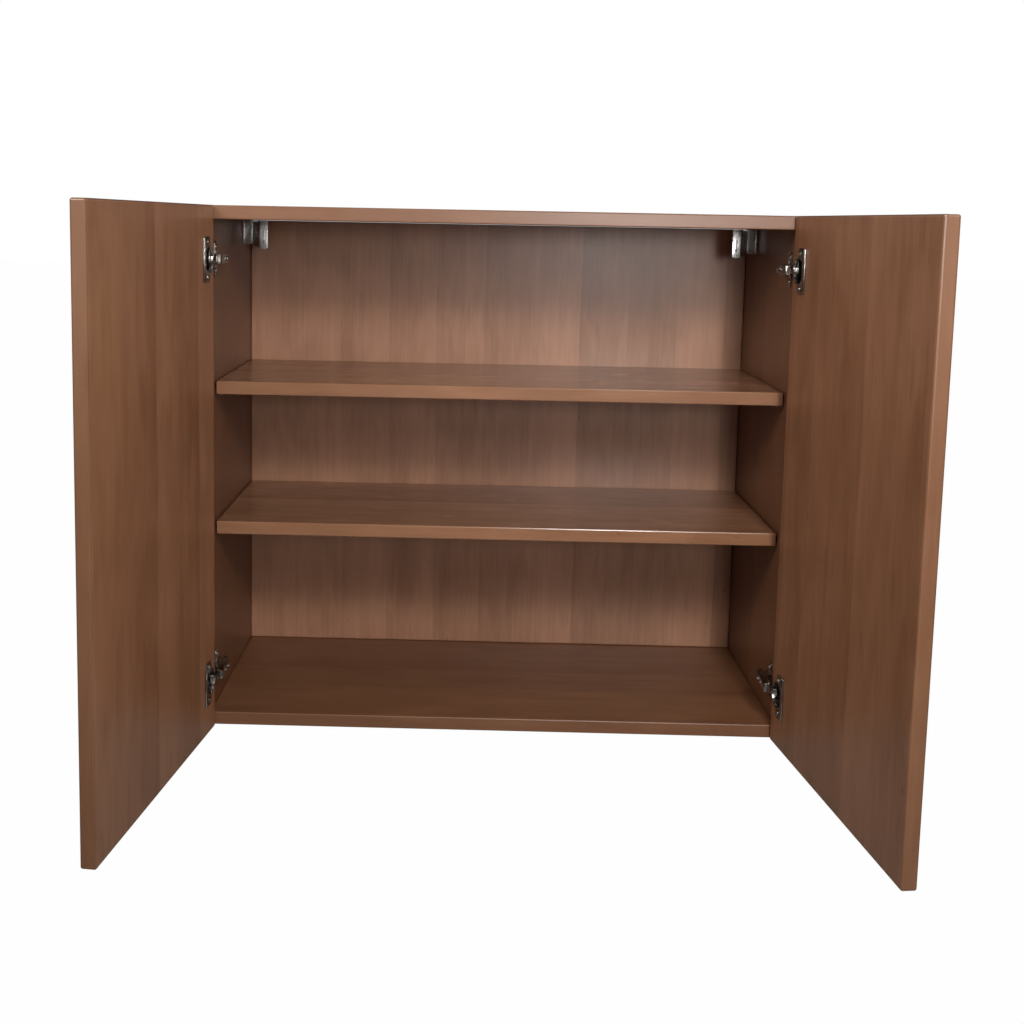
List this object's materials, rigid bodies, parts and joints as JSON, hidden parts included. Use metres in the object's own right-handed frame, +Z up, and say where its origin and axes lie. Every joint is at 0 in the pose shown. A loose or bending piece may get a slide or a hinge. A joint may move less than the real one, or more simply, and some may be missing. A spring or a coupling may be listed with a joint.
{
  "type": "hanging wall cabinet",
  "caption": "Wall-hung storage cabinet of laminated board with hinged doors on concealed cup hinges, loose shelves on pins and pressed hangers in its top corners.",
  "frame": {"origin": "middle of the back panel's rear face, on the wall plane", "axes": "+X to the cabinet's right as seen from the front (viewer's right), +Y into the wall, +Z up; the doors are at the -Y side"},
  "size_m": [0.8756, 0.7356, 0.7],
  "materials": {
    "laminate": "reddish-brown wood-grain laminate, satin, with slightly lighter edge banding",
    "nickel": "nickel-plated pressed steel, semi-bright",
    "zinc": "zinc-plated steel, dull"
  },
  "bodies": {
    "cabinet": {"back_panel": "laminate", "bottom_panel": "laminate", "hanger_left": "zinc", "hanger_right": "zinc", "hanger_screw_left": "zinc", "hanger_screw_right": "zinc", "hinge_left_bottom_arm": "nickel", "hinge_left_bottom_clamp_screw": "nickel", "hinge_left_bottom_plate": "nickel", "hinge_left_bottom_plate_screw_high": "nickel", "hinge_left_bottom_plate_screw_low": "nickel", "hinge_left_top_arm": "nickel", "hinge_left_top_clamp_screw": "nickel", "hinge_left_top_plate": "nickel", "hinge_left_top_plate_screw_high": "nickel", "hinge_left_top_plate_screw_low": "nickel", "hinge_right_bottom_arm": "nickel", "hinge_right_bottom_clamp_screw": "nickel", "hinge_right_bottom_plate": "nickel", "hinge_right_bottom_plate_screw_high": "nickel", "hinge_right_bottom_plate_screw_low": "nickel", "hinge_right_top_arm": "nickel", "hinge_right_top_clamp_screw": "nickel", "hinge_right_top_plate": "nickel", "hinge_right_top_plate_screw_high": "nickel", "hinge_right_top_plate_screw_low": "nickel", "pin_lower_left_front": "zinc", "pin_lower_left_rear": "zinc", "pin_lower_right_front": "zinc", "pin_lower_right_rear": "zinc", "pin_upper_left_front": "zinc", "pin_upper_left_rear": "zinc", "pin_upper_right_front": "zinc", "pin_upper_right_rear": "zinc", "shelf_lower": "laminate", "shelf_upper": "laminate", "side_panel_left": "laminate", "side_panel_right": "laminate", "top_panel": "laminate"},
    "door_left": {"door_left": "laminate", "hinge_left_bottom_cup": "nickel", "hinge_left_bottom_cup_screw_high": "nickel", "hinge_left_bottom_cup_screw_low": "nickel", "hinge_left_top_cup": "nickel", "hinge_left_top_cup_screw_high": "nickel", "hinge_left_top_cup_screw_low": "nickel"},
    "link_left_top": {"hinge_left_top_link": "nickel"},
    "link_left_bottom": {"hinge_left_bottom_link": "nickel"},
    "door_right": {"door_right": "laminate", "hinge_right_bottom_cup": "nickel", "hinge_right_bottom_cup_screw_high": "nickel", "hinge_right_bottom_cup_screw_low": "nickel", "hinge_right_top_cup": "nickel", "hinge_right_top_cup_screw_high": "nickel", "hinge_right_top_cup_screw_low": "nickel"},
    "link_right_top": {"hinge_right_top_link": "nickel"},
    "link_right_bottom": {"hinge_right_bottom_link": "nickel"}
  },
  "joints": [
    {"name": "link_left_top_pivot", "type": "hinge", "parent": "cabinet", "child": "link_left_top", "pos_m": [-0.3725, -0.33175, 0.28], "axis": [0, 0, 1], "range_deg": [-43, 0]},
    {"name": "link_left_bottom_pivot", "type": "hinge", "parent": "cabinet", "child": "link_left_bottom", "pos_m": [-0.3725, -0.33175, -0.28], "axis": [0, 0, 1], "range_deg": [-43, 0]},
    {"name": "door_left_swing", "type": "hinge", "parent": "link_left_top", "child": "door_left", "pos_m": [-0.37862, -0.35011, 0.28], "axis": [0, 0, 1], "range_deg": [0, 139.6]},
    {"name": "link_right_top_pivot", "type": "hinge", "parent": "cabinet", "child": "link_right_top", "pos_m": [0.3725, -0.33175, 0.28], "axis": [0, 0, -1], "range_deg": [-43, 0]},
    {"name": "link_right_bottom_pivot", "type": "hinge", "parent": "cabinet", "child": "link_right_bottom", "pos_m": [0.3725, -0.33175, -0.28], "axis": [0, 0, -1], "range_deg": [-43, 0]},
    {"name": "door_right_swing", "type": "hinge", "parent": "link_right_top", "child": "door_right", "pos_m": [0.37862, -0.35011, 0.28], "axis": [0, 0, -1], "range_deg": [0, 139.6]}
  ],
  "couplings": [
    {"joint": "link_left_top_pivot", "follows": "door_left_swing", "ratio": -0.30802},
    {"joint": "link_left_bottom_pivot", "follows": "door_left_swing", "ratio": -0.30802},
    {"joint": "link_right_top_pivot", "follows": "door_right_swing", "ratio": -0.30802},
    {"joint": "link_right_bottom_pivot", "follows": "door_right_swing", "ratio": -0.30802}
  ]
}
